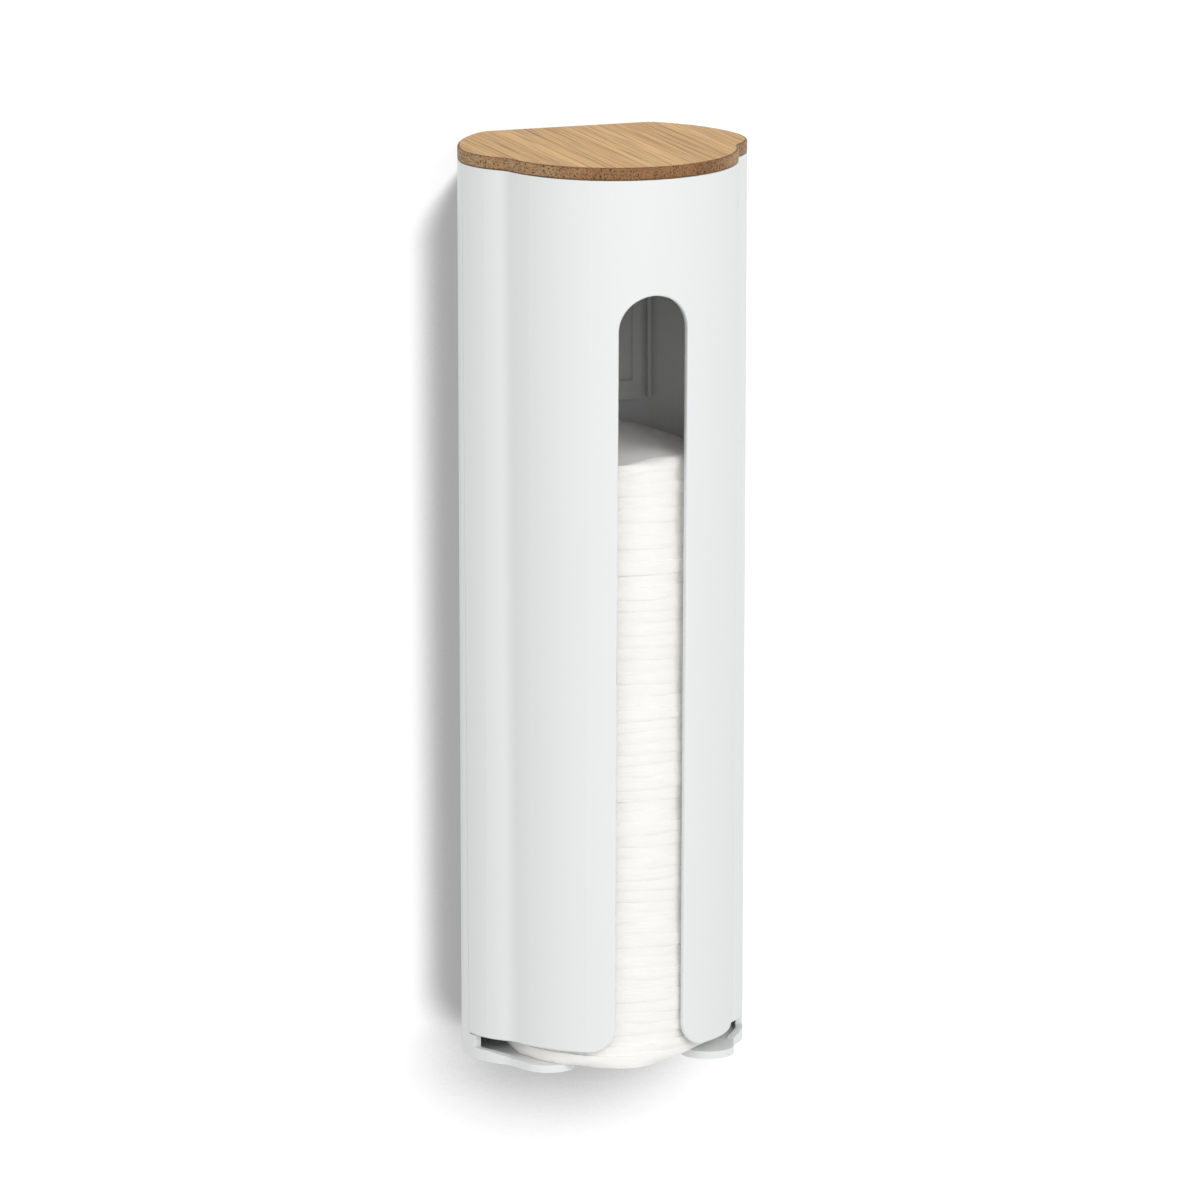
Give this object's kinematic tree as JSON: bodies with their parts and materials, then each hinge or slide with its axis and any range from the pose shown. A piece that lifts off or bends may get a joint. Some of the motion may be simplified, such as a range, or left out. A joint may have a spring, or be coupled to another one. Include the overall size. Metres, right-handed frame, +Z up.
{
  "type": "cotton pad holder",
  "caption": "Wall-hung cotton pad dispenser: slotted white plastic tube with a flat back, a lift-off bamboo lid and a low gap where the bottom pad is drawn out.",
  "frame": {"origin": "centre of the adhesive pad's back face, where the bracket meets the wall", "axes": "+Z up, +Y into the wall, +X to the right as the holder is seen from the front"},
  "size_m": [0.0776, 0.0702, 0.2417],
  "materials": {
    "white_plastic": "fine matte moulded",
    "bamboo": "satin lacquered pressed bamboo",
    "ring_plastic": "matte moulded",
    "bracket_plastic": "matte moulded",
    "adhesive_foam": "closed-cell acrylic foam",
    "soft_bumper": "clear soft polyurethane",
    "screw_steel": "zinc plated",
    "cotton": "pressed cotton wool"
  },
  "bodies": {
    "wall_mount": {"wall_bracket": "bracket_plastic", "adhesive_pad": "adhesive_foam"},
    "holder": {"back_frame": "white_plastic", "front_shell": "white_plastic", "wall_bumpers": "soft_bumper"},
    "lid": {"lid_board": "bamboo", "lid_ring": "ring_plastic", "lid_screws": "screw_steel"},
    "pad_stack": {"cotton_pad_02": "cotton", "cotton_pad_03": "cotton", "cotton_pad_04": "cotton", "cotton_pad_05": "cotton", "cotton_pad_06": "cotton", "cotton_pad_07": "cotton", "cotton_pad_08": "cotton", "cotton_pad_09": "cotton", "cotton_pad_10": "cotton", "cotton_pad_11": "cotton", "cotton_pad_12": "cotton", "cotton_pad_13": "cotton", "cotton_pad_14": "cotton", "cotton_pad_15": "cotton", "cotton_pad_16": "cotton", "cotton_pad_17": "cotton", "cotton_pad_18": "cotton", "cotton_pad_19": "cotton", "cotton_pad_20": "cotton", "cotton_pad_21": "cotton", "cotton_pad_22": "cotton", "cotton_pad_23": "cotton", "cotton_pad_24": "cotton", "cotton_pad_25": "cotton", "cotton_pad_26": "cotton", "cotton_pad_27": "cotton", "cotton_pad_28": "cotton", "cotton_pad_29": "cotton", "cotton_pad_30": "cotton", "cotton_pad_31": "cotton", "cotton_pad_32": "cotton", "cotton_pad_33": "cotton", "cotton_pad_34": "cotton", "cotton_pad_35": "cotton", "cotton_pad_36": "cotton", "cotton_pad_37": "cotton", "cotton_pad_38": "cotton", "cotton_pad_39": "cotton", "cotton_pad_40": "cotton", "cotton_pad_41": "cotton", "cotton_pad_42": "cotton", "cotton_pad_43": "cotton", "cotton_pad_44": "cotton", "cotton_pad_45": "cotton", "cotton_pad_46": "cotton", "cotton_pad_47": "cotton", "cotton_pad_48": "cotton", "cotton_pad_49": "cotton", "cotton_pad_50": "cotton", "cotton_pad_51": "cotton", "cotton_pad_52": "cotton"},
    "bottom_pad": {"cotton_pad_01": "cotton"}
  },
  "joints": [
    {"name": "holder_lift", "type": "slide", "parent": "wall_mount", "child": "holder", "axis": [0, 0, 1], "range_m": [0, 0.0248]},
    {"name": "lid_lift", "type": "slide", "parent": "holder", "child": "lid", "axis": [0, 0, 1], "range_m": [0, 0.06]},
    {"name": "stack_lift", "type": "slide", "parent": "holder", "child": "pad_stack", "axis": [0, 0, 1], "range_m": [0, 0.068]},
    {"name": "pad_draw", "type": "slide", "parent": "holder", "child": "bottom_pad", "axis": [0, -1, 0], "range_m": [0, 0.064]}
  ]
}
